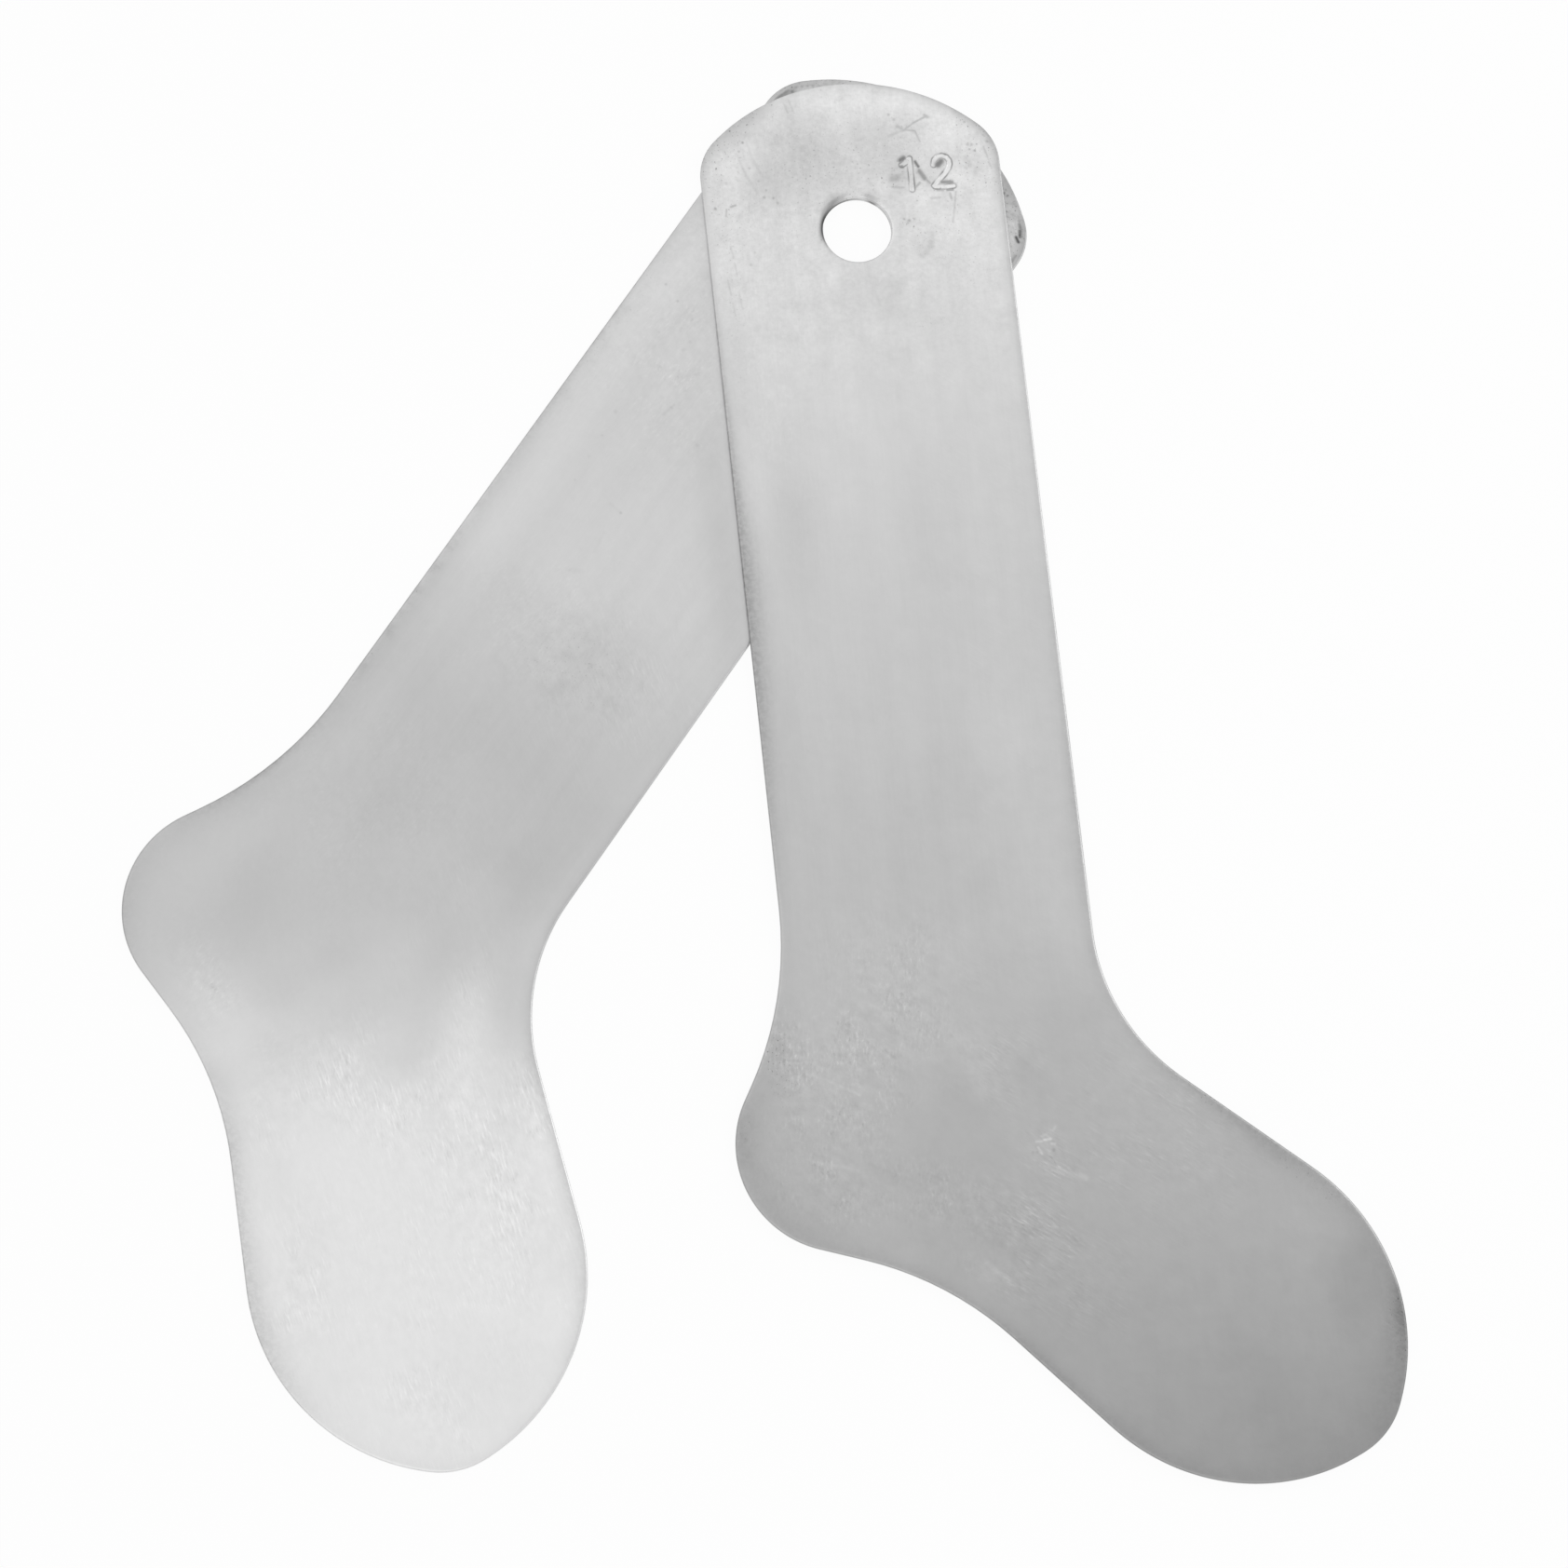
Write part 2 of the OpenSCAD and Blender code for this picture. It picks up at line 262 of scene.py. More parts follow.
        (150, -548, 35, 18, -30, -0.03), (120, -455, 30, 14, -38, 0.03), (30, -390, 5, 14, 30, -0.04),
        (36, -421, 5, 5, 0, 0.03), (8, -475, 6, 3, -20, 0.06), (-46, -389, 10, 2.5, -25, 0.03),
        (-52, -423, 10, 2.5, -15, 0.03), (170, -480, 10, 26, 0, -0.05), (179, -507, 3, 9, 0, -0.25),
        (180, -496, 2.5, 4, 0, -0.25), (-52, -150, 6, 40, 0, 0.02), (42, 47, 9, 8, 0, 0.11),
        (32, 15, 6, 4, 0, 0.10), (158, -492, 11, 18, 0, -0.10), (-36, 27, 9, 9, 0, -0.09),
        (-60, -10, 6, 28, 0, 0.08), (47, -150, 12, 40, 0, 0.06), (-6, 48, 9, 14, 0, 0.05),
        (16, -462, 12, 8, -30, -0.06), (24, -23, 8, 7, 0, 0.05), (-43, -142, 8, 22, -4, -0.065),
        # (-7.1, 15.2), (-11.2, 12.5), (7.3, 15.5) and (-15.6, 2.75) are painted shade on the hole's rim, for the
        # lower plate's rim in shadow seen through it
        (-40, -226, 10, 22, 0, 0.05), (-7.1, 15.2, 3.6, 1.3, 25, -0.26), (-11.2, 12.5, 3.8, 1.5, 42, -0.34),
        (7.3, 15.5, 3.2, 1.1, -25, -0.26), (37, 0, 8, 10, 0, 0.08), (46, 20, 6, 5, 0, 0.07),
        (-58, 31, 7, 9, 0, 0.06), (32, 62, 8, 5, -20, 0.05), (12, 20, 5, 5, 0, 0.08), (-28, -466, 9, 5, -20, 0.06),
        (0, -72, 10, 12, 0, -0.04), (-59, -114, 4, 24, 0, 0.05), (-15.6, 2.75, 1.1, 6, -10, -0.42),
        (28, 11, 6, 5, 0, 0.06),
    ],
    rubs=[
        (36, -421, 8, 8, 0, 0.9), (44, -433, 16, 5, -15, 0.9), (9, -476, 14, 6, -30, 1.2),
        (16, -385, 16, 14, -30, 0.9), (-29, -367, 24, 14, 0, 1.2), (-49, -393, 24, 20, 0, 1.3),
        (-58, -432, 20, 12, -15, 1.5), (0, -445, 34, 12, -25, 1.1), (26, -452, 20, 14, -30, 0.7),
        (40, -480, 24, 16, -30, 0.7), (-73, -372, 8, 24, 10, 1.2), (-17, -341, 26, 20, 0, 0.8),
        (-45, -60, 18, 60, 0, 0.25), (0, 30, 60, 46, 0, 0.15), (178, -508, 5, 10, 0, 1.0),
        (86, -420, 34, 30, -30, 0.6),
    ],
    stains=[
        (-76, -371, 5, 22, 8, 0.6), (-92, -408, 6, 12, 0, 0.5), (178, -512, 5, 20, 0, 0.8),
        (106, -405, 22, 4, -38, 0.6), (150, -449, 26, 4, -40, 0.6), (-62, 38, 7, 12, -35, 0.35),
        (-45, 60, 18, 7, 32, 0.7), (0, 74, 40, 5, 0, 0.5), (60, 52, 12, 8, -40, 1.0), (64, 30, 5, 18, 0, 0.5),
        (0, 25, 64, 40, 0, 0.5), (-60, -30, 8, 70, 0, 0.35), (20, 24, 5, 4, 20, 0.9), (24, 3, 5, 4, 0, 0.5),
        (30, -9, 7, 5, 40, 0.4), (28, -47, 10, 4, 0, 0.5), (54, 30, 4, 6, 0, 0.6), (50, -20, 14, 40, 0, 0.3),
    ],
)
REAR_WEAR_AND_SHADE = dict(
    marks=[
        # Knocks round the number, and scratches where the front plate covers it
        ((40.0, 29.2), (41.0, 30.0), 1.20, 0.60, 0.20), ((24.0, 31.8), (24.8, 32.4), 0.90, 0.50, 0.20),
        ((41.5, 20.0), (44.0, 19.8), 0.60, 0.45, 0.15), ((30.4, 26.0), (31.2, 22.0), 0.60, 0.30, 0.10),
        ((-40.0, 50.0), (-22.0, 44.0), 0.50, 0.20, 0.04), ((-22.0, 44.0), (-12.0, 46.0), 0.45, 0.15, 0.03),
        ((12.0, 52.0), (30.0, 60.0), 0.50, 0.18, 0.03), ((30.0, -20.0), (46.0, -38.0), 0.50, 0.20, 0.04),
        ((-52.0, 10.0), (-47.0, -14.0), 0.50, 0.16, 0.03), ((-30.0, -28.0), (-18.0, -44.0), 0.50, 0.15, 0.03),
        ((50.0, 8.0), (55.0, -10.0), 0.45, 0.15, 0.03),
        # Nicks and thin scratches down the leg
        ((-22.7, -121.9), (-21.5, -115.9), 0.70, 0.09, 0.01), ((-19.1, -170.1), (-12.4, -171.0), 0.75, 0.04, 0.01),
        ((-13.7, -182.8), (-12.2, -192.6), 0.75, 0.035, 0.01),
        ((-17.2, -205.8), (-11.8, -203.2), 1.20, 0.045, 0.00),
        # Corners that show past the front plate
        ((60.6, 38.9), (62.7, 37.5), 0.75, 0.90, 0.05), ((60.3, 42.5), (61.9, 40.0), 0.80, 0.80, 0.04),
        ((58.4, 45.0), (59.7, 43.7), 0.75, 0.55, 0.02), ((47.6, 50.3), (52.4, 51.9), 0.60, 0.12, 0.00),
        ((50.1, 47.0), (57.5, 47.2), 0.60, 0.12, 0.00), ((65.6, 28.0), (65.4, 31.0), 1.10, 0.34, 0.00),
        ((-66.6, 31.4), (-64.2, 37.4), 2.80, 0.52, 0.00), ((-53.2, 51.6), (-51.0, 53.2), 0.90, 0.36, 0.00),
    ] + dots(
        (-28.0, 22.0, 0.7, 0.35), (36.0, -6.0, 0.6, 0.3), (-45.0, 30.0, 0.6, 0.3), (18.0, -30.0, 0.7, 0.25),
        (-40.9, -133.3, 0.9, 0.12), (-39.7, -145.8, 0.7, 0.11), (-37.9, -169.9, 0.6, 0.08),
        (-38.8, -157.3, 0.8, 0.06), (-12.8, -171.0, 0.7, 0.18), (-47.5, -74.1, 0.6, 0.20),
        (-56.2, -70.4, 0.6, 0.22), (-32.5, -91.8, 0.9, 0.10), (-32.1, -87.1, 0.8, 0.10), (-2.5, -125.7, 0.9, 0.09),
        (-46.0, -91.0, 0.7, 0.08), (-21.8, -117.5, 0.9, 0.14), (39.6, 57.6, 0.9, 0.4), (41.6, 56.6, 0.7, 0.35),
        (42.6, 55.0, 0.8, 0.35), (44.5, 53.6, 0.9, 0.5), (46.4, 53.4, 0.8, 0.35), (44.4, 55.6, 0.7, 0.3),
        (57.6, 46.4, 0.8, 0.35), (56.4, 47.6, 0.7, 0.3), (-61.3, 39.9, 1.0, 0.42), (-61.2, 42.8, 0.9, 0.3),
        (-59.0, 44.6, 0.9, 0.25), (-57.2, 46.3, 0.8, 0.3), (-55.4, 47.9, 0.9, 0.28), (-50.6, 54.4, 0.9, 0.45),
    ),
    # Painted shade round the rim of the hole, where the front plate shadows it
    hole_shade=[(200, 58, 0.92), (97, 7, 0.5)],
    seed=31,
    tones=[(80, 0.74), (-40, 0.735), (-158, 0.72), (-217, 0.71), (-290, 0.61), (-342, 0.62), (-567, 0.63)],
    foot=0.90,
    # Painted shade along the edges: a place on the edge, how dark, how far in
    edge_shading=[
        (-86, -437, 0.17, 4.5), (-47, -463, 0.05, 3), (-4, -487, 0.17, 5), (11, -500, 0.26, 5), (30, -522, 0.25, 5),
        (67, -557, 0.26, 6.5), (113, -571, 0.07, 3), (158, -557, 0.05, 4), (178, -514, 0.03, 3),
        (168, -466, 0.12, 5), (135, -430, 0.14, 4), (97, -395, 0.12, 4), (72, -355, 0.03, 3), (67, -306, 0.0, 3),
        (67, -206, 0.03, 4), (67, -20, 0.15, 5), (66, 37, 0.26, 2.6), (48, 56, 0.18, 3), (0, 72, 0.20, 4),
        (-50, 55, 0.08, 3), (-66, 38, 0.16, 3), (-67, -20, 0.10, 1.2), (-67, -59, 0.20, 1.1),
        (-67, -109, 0.27, 1.3), (-67, -159, 0.20, 2.8), (-67, -209, 0.10, 6), (-67, -259, 0.06, 6),
        (-67, -309, 0.13, 2.6), (-76, -358, 0.34, 2.2), (-93, -399, 0.07, 6),
    ],
    shades=[
        (38, -367, 7, 30, 37, 0.035), (65, -404, 7, 22, 28, 0.06), (50, -417, 7, 15, 24, -0.06),
        (88, -394, 9, 16, 45, -0.05), (15, -430, 10, 9, 0, -0.02), (-71, -410, 12, 16, 0, 0.03),
        (-44, -409, 9, 24, 10, -0.025), (-36, -448, 14, 9, -20, 0.04), (31, -442, 12, 14, 40, 0.04),
        (17, -228, 22, 16, 20, -0.05), (-27, -228, 12, 14, 0, -0.04), (-27, -340, 20, 16, 0, -0.03),
        # (30, -156) is a painted shadow that the front plate's left edge casts on this plate
        (-30, -190, 22, 40, 0, 0.02), (-2, -173, 20, 26, 30, 0.02), (30, -156, 7, 56, 40, -0.08),
        (0, -80, 40, 22, 0, 0.02), (57, 44, 20, 16, 0, -0.09), (43, 56, 9, 7, -35, -0.18),
        (-58, 48, 22, 18, 0, -0.13), (60, -512, 10, 22, 25, -0.03), (74, -378, 9, 18, 30, -0.08),
        (-10, -474, 8, 10, -40, -0.06), (40, -350, 9, 14, 37, 0.07), (84, -428, 10, 9, 0, 0.065),
        (44, -431, 9, 8, 0, -0.06), (62, -290, 6, 24, 0, 0.05), (-12, -432, 10, 10, 0, -0.06),
        # (55, 40) is painted shadow beside the front plate's edge
        (-58, -60, 9, 50, 0, 0.06), (-56, -180, 9, 60, 0, 0.05), (52, 52, 4, 4, 0, 0.07), (55, 40, 4, 5, 0, -0.06),
        (57, 46, 4, 6, 0, 0.06), (40, -446, 9, 8, 0, -0.06), (20, -392, 16, 14, 0, 0.05),
        (0, -348, 14, 14, 0, 0.04), (164, -478, 8, 12, 0, 0.05), (34, -498, 8, 14, 35, -0.05),
        (0, -455, 9, 9, 0, -0.05), (-8, -108, 7, 12, 0, 0.04),
    ],
    rubs=[
        (24, -440, 16, 14, 40, 0.7), (38, -453, 18, 12, 30, 0.6), (81, -432, 22, 14, -35, 0.7),
        (108, -441, 20, 16, -35, 0.5), (104, -410, 22, 9, -38, 0.8), (63, -449, 16, 12, -30, 0.6),
        (124, -461, 24, 20, -30, 0.5), (68, -531, 10, 24, 30, 0.9), (140, -542, 16, 10, -20, 0.8),
        (110, -490, 50, 40, -30, 0.25), (12, -470, 12, 22, 30, 0.5), (-20, -340, 40, 34, 0, 0.25),
        (10, -235, 40, 26, 0, 0.5), (-2, -114, 24, 30, 0, 0.3), (-38, -94, 22, 32, 0, 0.55),
        (-40, -445, 16, 9, -20, 0.7), (60, -395, 8, 34, 30, 0.5), (56, 45, 14, 12, -35, 0.9),
        (-58, 46, 8, 14, -40, 0.9),
    ],
    stains=[
        (-74, -352, 3, 22, 12, 0.3), (-66, -260, 3, 60, 0, 0.5), (57, 44, 18, 16, 0, 1.1),
        (-58, 48, 22, 18, 0, 1.0), (10, -240, 34, 22, 0, 0.35), (-64, -90, 6, 70, 0, 0.35),
        (168, -440, 5, 30, 0, 0.4), (0, 25, 60, 40, 0, 0.6),
    ],
)


def outer_edge(node):
    """The widest ring of points of a CAD plate, in order, in millimetres."""
    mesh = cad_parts[node].data
    low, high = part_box(node)
    level = low.z + (high.z - low.z) * WIDEST_AT
    key = [(round(v.co.x / MM, 3), round(v.co.y / MM, 3)) if abs(v.co.z - level) < LEVEL_SLACK * MM else None
           for v in mesh.vertices]
    beside = {}
    for a, b in (e.vertices for e in mesh.edges):
        if key[a] and key[b] and key[a] != key[b]:
            beside.setdefault(key[a], set()).add(key[b])
            beside.setdefault(key[b], set()).add(key[a])
    ring = [min(beside)]
    while len(ring) < len(beside):
        ahead = sorted(p for p in beside[ring[-1]] if p not in ring[-2:] and (p != ring[0] or len(ring) < 3))
        ring.append(ahead[0])
    ring = np.array(ring)
    x, y = ring.T
    return ring if np.sum(x * np.roll(y, -1) - y * np.roll(x, -1)) > 0 else ring[::-1]


def eased_ring(ring, step):
    """The ring with points no further apart than step and its small corners cut."""
    fine = []
    for a, b in zip(ring, np.roll(ring, -1, 0)):
        count = max(1, math.ceil(np.hypot(*(b - a)) / step))
        fine += [a + (b - a) * k / count for k in range(count)]
    fine = np.array(fine)
    after = np.roll(fine, -1, 0)
    kept = 1 - CORNER_CUT
    return np.stack([fine * kept + after * CORNER_CUT, fine * CORNER_CUT + after * kept], 1).reshape(-1, 2)


def outward(ring):
    """Unit directions that point out of a ring that runs anticlockwise."""
    along = np.roll(ring, -1, 0) - np.roll(ring, 1, 0)
    return np.stack([along[:, 1], -along[:, 0]], 1) / np.hypot(*along.T)[:, None]


def from_run(points, a, b):
    """Distance of points from the straight run a to b."""
    a, b = np.array(a, float), np.array(b, float)
    share = np.clip((points - a) @ (b - a) / max((b - a) @ (b - a), SHORTEST), 0, 1)
    return np.hypot(*(points - a - share[:, None] * (b - a)).T)


def nearest(points, ring):
    """Which point of a ring is nearest to each point, and how far it is."""
    which, far = [], []
    for part in np.array_split(points, 1 + len(points) // BATCH):
        gap = np.hypot(part[:, None, 0] - ring[None, :, 0], part[:, None, 1] - ring[None, :, 1])
        which.append(gap.argmin(1))
        far.append(gap.min(1))
    return np.concatenate(which), np.concatenate(far)


def inside(points, ring):
    """Which points lie inside a ring."""
    x, y = points.T
    (ax, ay), (bx, by) = ring.T, np.roll(ring, -1, 0).T
    with np.errstate(divide="ignore", invalid="ignore"):
        crossing = ((ay > y[:, None]) != (by > y[:, None])) & \
            (x[:, None] < (bx - ax) * (y[:, None] - ay) / (by - ay) + ax)
    return crossing.sum(1) % 2 == 1


def eased(value, low, high):
    """Smooth rise from 0 at low to 1 at high."""
    t = np.clip((value - low) / (high - low), 0, 1)
    return t * t * (3 - 2 * t)


def patches(points, listed):
    """Sum of soft-edged patches at each point."""
    total = np.zeros(len(points))
    for x, y, wide, tall, lean, amount in listed:
        turn = math.radians(lean)
        dx, dy = points[:, 0] - x, points[:, 1] - y
        across, up = dx * math.cos(turn) + dy * math.sin(turn), dy * math.cos(turn) - dx * math.sin(turn)
        total += amount * np.exp(-PATCH_FALL * ((across / wide) ** 2 + (up / tall) ** 2) ** PATCH_POWER)
    return total


def scattered(seed, count, wide, tall, amount):
    """Patches at random places over a plate, with half widths, half heights and amounts from these ranges."""
    pick = np.random.default_rng(seed)
    return [(pick.uniform(*SCATTER_X), pick.uniform(*SCATTER_Y), pick.uniform(*wide), pick.uniform(*tall),
             pick.uniform(*SCATTER_LEAN), pick.uniform(*amount)) for _ in range(count)]


def number_runs():
    """The straight runs of the punched number."""
    return [(a, b) for line in NUMBER_STROKES for a, b in zip(line, line[1:])]


def number_and_marks(points, marks):
    """How deep the punched number and the marks cut below the face, the painted shade on the number's walls with the
    dirt that the marks hold, and their shine.
    """
    stroke = np.min([from_run(points, a, b) for a, b in number_runs()], 0)
    uneven = WALL_SHADE + SHADE_SWING * np.sin(points @ SWING_WAY)
    cut = STROKE_DEPTH * (1 - eased(stroke, STROKE_HALF, STROKE_WALL))
    cut -= LIP_HIGH * np.exp(-((stroke - STROKE_WALL - LIP_OUT) / LIP_HALF) ** 2)
    # Painted shade on the walls of the number's strokes, swinging over the plate
    dirt = uneven * np.exp(-((stroke - STROKE_WALL + SHADE_IN) / SHADE_HALF) ** 2)
    shine = FLOOR_SHINE * (1 - eased(stroke, *(STROKE_HALF * share for share in SHINE_ENDS)))
    for a, b, half, held, depth in marks:
        near = from_run(points, a, b)
        cut = np.maximum(cut, depth * (1 - eased(near, *(half * share for share in MARK_WALL))))
        soft = np.exp(-(near / half) ** MARK_FADE)
        dirt = np.maximum(dirt, held * soft)
        shine = np.maximum(shine, -held * soft)
    return cut, dirt, shine


def spread(step, boxes):
    """Points a step apart in staggered rows that cover the boxes."""
    cells = []
    for low, high in boxes:
        columns = np.arange(math.floor(low[0] / step), math.ceil(high[0] / step))
        rows = np.arange(math.floor(low[1] / step / ROW_SHARE), math.ceil(high[1] / step / ROW_SHARE))
        across, up = np.meshgrid(columns, rows)
        cells.append(np.column_stack([across.ravel(), up.ravel()]))
    across, up = np.unique(np.concatenate(cells), axis=0).T
    return np.column_stack([(across + up % 2 / 2) * step, up * step * ROW_SHARE])


def face_points(inner, marks):
    """Points over a face: wide apart on the plain sheet, close at the number and the marks."""
    runs = [(np.array(a), np.array(b)) for a, b in number_runs() + [mark[:2] for mark in marks]]
    laid = []
    for step, closest, furthest in FACE_STEPS:
        boxes = [(np.minimum(a, b) - furthest, np.maximum(a, b) + furthest) for a, b in runs]
        points = spread(step, boxes if furthest < ANYWHERE else [(inner.min(0), inner.max(0))])
        gap = np.min([from_run(points, a, b) for a, b in runs], 0)
        laid.append(points[(gap > closest) & (gap < furthest)])
    points = np.concatenate(laid)
    points = points[inside(points, inner) & (np.hypot(*points.T) > HOLE_R + RIM_IN[-1] + RIM_CLEAR)]
    return points[nearest(points, inner)[1] > EDGE_CLEAR]


def rounding(ins, downs):
    """How far in and how high each ring of a rounding is, from the upper face down to the lower."""
    above = [(i, SHEET_T - d) for i, d in zip(ins, downs)]
    below = list(zip(ins, downs))
    return above[-2::-1] + below[:-1]


def plate(name, edge, turn, lift, wear_and_shade):
    """One stretcher plate as a closed mesh with rounded edges, a rounded hole and the punched number."""
    out = outward(edge)
    softness = CROWN_SOFT + (FOOT_SOFT - CROWN_SOFT) * eased(-edge[:, 1], SOFTENS_FROM, SOFTENS_TO)
    count = len(edge)
    bearing = np.arange(HOLE_POINTS) / HOLE_POINTS * 2 * math.pi
    spoke = np.stack([np.cos(bearing), np.sin(bearing)], 1)
    inner = edge - out * (EDGE_IN[-1] * softness)[:, None]
    brim = spoke * (HOLE_R + RIM_IN[-1])
    laid = np.concatenate([inner, brim, face_points(inner, wear_and_shade["marks"])])
    ties = [(k, (k + 1) % count) for k in range(count)]
    ties += [(count + k, count + (k + 1) % HOLE_POINTS) for k in range(HOLE_POINTS)]
    verts, _, faces, origin, _, _ = delaunay_2d_cdt(
        [Vector(p) for p in laid.tolist()], ties, [], 0, SAME_POINT, True)
    flat = np.array([v[:] for v in verts])
    middles = np.array([flat[list(f)].mean(0) for f in faces])
    good = inside(middles, inner) & ~inside(middles, brim)
    place = {o[0]: k for k, o in enumerate(origin) if o}
    ring_at = [place[k] for k in range(count)]
    brim_at = [place[count + k] for k in range(HOLE_POINTS)]
    tris = [tuple(f) for f, g in zip(faces, good) if g]

    cut, dirt, shine = number_and_marks(flat, wear_and_shade["marks"])
    gap = nearest(flat, edge)[1]
    hollow = np.clip(patches(flat, scattered(wear_and_shade["seed"], *HOLLOWS)), 0, HOLLOW_MOST)
    hollow *= (eased(gap, *HOLLOW_FROM_EDGE)
               * eased(np.hypot(*flat.T), *(HOLE_R + far for far in HOLLOW_FROM_HOLE)))
    co = [np.column_stack([flat, SHEET_T - hollow - cut]), np.column_stack([flat, hollow * HOLLOW_BELOW])]
    # Per point: the marks' dirt with the painted shade on the number's walls, and later the painted shade of the
    # hole's rim
    marks = [dirt, np.zeros(len(flat))]
    under = len(flat)
    polys = list(tris) + [tuple(k + under for k in t[::-1]) for t in tris]
    total = 2 * under

    def rings_down(rows, start, flip):
        """Rings of points from a ring of the upper face, round the edge, to the same ring of the lower face."""
        nonlocal total
        numbers = [start]
        for ring, height, held in rows:
            co.append(np.column_stack([ring, np.full(len(ring), height)]))
            marks.append(np.broadcast_to(held, len(ring)))
            numbers.append(list(range(total, total + len(ring))))
            total += len(ring)
        numbers.append([k + under for k in start])
        for low, high in zip(numbers, numbers[1:]):
            for k in range(len(low)):
                n = (k + 1) % len(low)
                quad = (low[k], low[n], high[n], high[k])
                polys.append(quad[::-1] if flip else quad)

    rings_down([(edge - out * (i * softness)[:, None], h, 0.0) for i, h in rounding(EDGE_IN, EDGE_DOWN)],
               ring_at, True)
    # Painted shade round the hole, by bearing
    hole_shade = sum(amount * np.exp(-(np.abs(np.degrees(bearing) - middle) / wide) ** SHADE_ROUND)
                for middle, wide, amount in wear_and_shade["hole_shade"])

    def rim_dirt(i):
        """Painted shade on the ring that is this far out from the hole's wall."""
        fade = sum(share * math.exp(-(i / reach) ** SHADE_OUT) for share, reach in RIM_SHADE)
        return np.minimum(hole_shade * fade + BORE_SHADE * (i < BORE_IN), 1)

    # The hole's rounding carries this painted shade
    rings_down([(spoke * (HOLE_R + i), h, rim_dirt(i)) for i, h in rounding(RIM_IN, RIM_DOWN)], brim_at, False)

    # Broad tone of the sheet, partly patina and partly painted shade for how the curved sheet reflects the room,
    # with the patches of shades
    co = np.concatenate(co)
    at = co[:, :2]
    which, gap = nearest(at, edge)
    low_to_high = sorted(wear_and_shade["tones"])
    tone = np.interp(at[:, 1], [h for h, _ in low_to_high], [t for _, t in low_to_high])
    clouds = patches(at, scattered(wear_and_shade["seed"] + 1, *CLOUDS))
    if wear_and_shade["foot"]:
        past_heel = at[:, 0] * FOOT_FORWARD - at[:, 1] * FOOT_DOWN + clouds * FOOT_RAGGED
        foot = eased(past_heel, FOOT_FROM, FOOT_FULL)
        tone = tone * (1 - foot) + wear_and_shade["foot"] * foot
    tone *= 1 + patches(at, wear_and_shade["shades"]) + clouds
    tone[:under] *= 1 + shine
    # The edges carry painted shade, by different amounts round the plate
    stations = nearest(np.array([h[:2] for h in wear_and_shade["edge_shading"]]), edge)[0]
    dark, reach = (np.interp(np.arange(count), stations, known, period=count)[which]
                   for known in list(zip(*wear_and_shade["edge_shading"]))[2:])
    edge_shade = dark * np.exp(-(gap / reach) ** EDGE_SHADE_FADE)

    c, s = math.cos(turn), math.sin(turn)
    placed = np.column_stack([at[:, 0] * c - at[:, 1] * s, at[:, 0] * s + at[:, 1] * c, co[:, 2] + lift]) * MM
    mesh = bpy.data.meshes.new(name)
    mesh.from_pydata(placed.tolist(), [], polys)
    own_place = mesh.attributes.new("sheet_mm", "FLOAT_VECTOR", "POINT")
    own_place.data.foreach_set("vector", co.astype(np.float32).ravel())
    for kind, value in (("tone", tone), ("dirt", np.concatenate(marks)),
                        ("rub", RUB_LEAST + patches(at, wear_and_shade["rubs"])),
                        ("stain", patches(at, wear_and_shade["stains"])), ("edge_shade", edge_shade)):
        held = mesh.attributes.new(kind, "FLOAT", "POINT")
        held.data.foreach_set("value", np.clip(value, 0, MOST_WEAR_OR_SHADE).astype(np.float32))
    mesh.shade_smooth()
    mesh.update()
    made = bpy.data.objects.new(name, mesh)
    bpy.context.scene.collection.objects.link(made)
    return made


class Wire:
    """A value in a finish. Arithmetic on it adds Math nodes."""

    def __init__(self, nodes, socket):
        self.nodes, self.socket = nodes, socket

    def _math(self, operation, a, b):
        return self.nodes.add("Math", {"operation": operation}, {0: a, 1: b})

    def __add__(self, other): return self._math("ADD", self, other)
    def __radd__(self, other): return self._math("ADD", other, self)
    def __sub__(self, other): return self._math("SUBTRACT", self, other)
    def __rsub__(self, other): return self._math("SUBTRACT", other, self)
    def __mul__(self, other): return self._math("MULTIPLY", self, other)
    def __rmul__(self, other): return self._math("MULTIPLY", other, self)


class Nodes:
    """The nodes of one finish, or of the studio's light."""

    def __init__(self, tree):
        self.tree = tree
        tree.nodes.clear()

    def add(self, kind, settings=None, sockets=None, out=0):
        """A new node: its type, its settings, and the values or wires of its sockets."""
        node = self.tree.nodes.new("ShaderNode" + kind)
        for name, value in (settings or {}).items():
            setattr(node, name, value)
        for name, value in (sockets or {}).items():
            socket = node.inputs[name]
            if isinstance(value, Wire):
                self.tree.links.new(value.socket, socket)
            else:
                socket.default_value = value
        return Wire(self, node.outputs[out]) if node.outputs else None

    def smooth(self, value, low, high):
        """Smooth rise from 0 at low to 1 at high."""
        return self.add("MapRange", {"interpolation_type": "SMOOTHSTEP"},
                        {"Value": value, "From Min": low, "From Max": high})

    def held(self, name, out="Fac"):
        """A value that the plate's points hold."""
        return self.add("Attribute", {"attribute_name": name}, out=out)

    def noise(self, place, across, along, detail, rough, lean):
        """Noise with its own scale each way, per millimetre, leaning by an angle."""
        if lean:
            place = self.add("VectorRotate", {"rotation_type": "Z_AXIS"}, {"Vector": place, "Angle": lean})
        laid = self.add("VectorMath", {"operation": "MULTIPLY"}, {0: place, 1: (across, along, 0)})
        return self.add("TexNoise", {}, {"Vector": laid, "Scale": 1.0, "Detail": detail, "Roughness": rough})


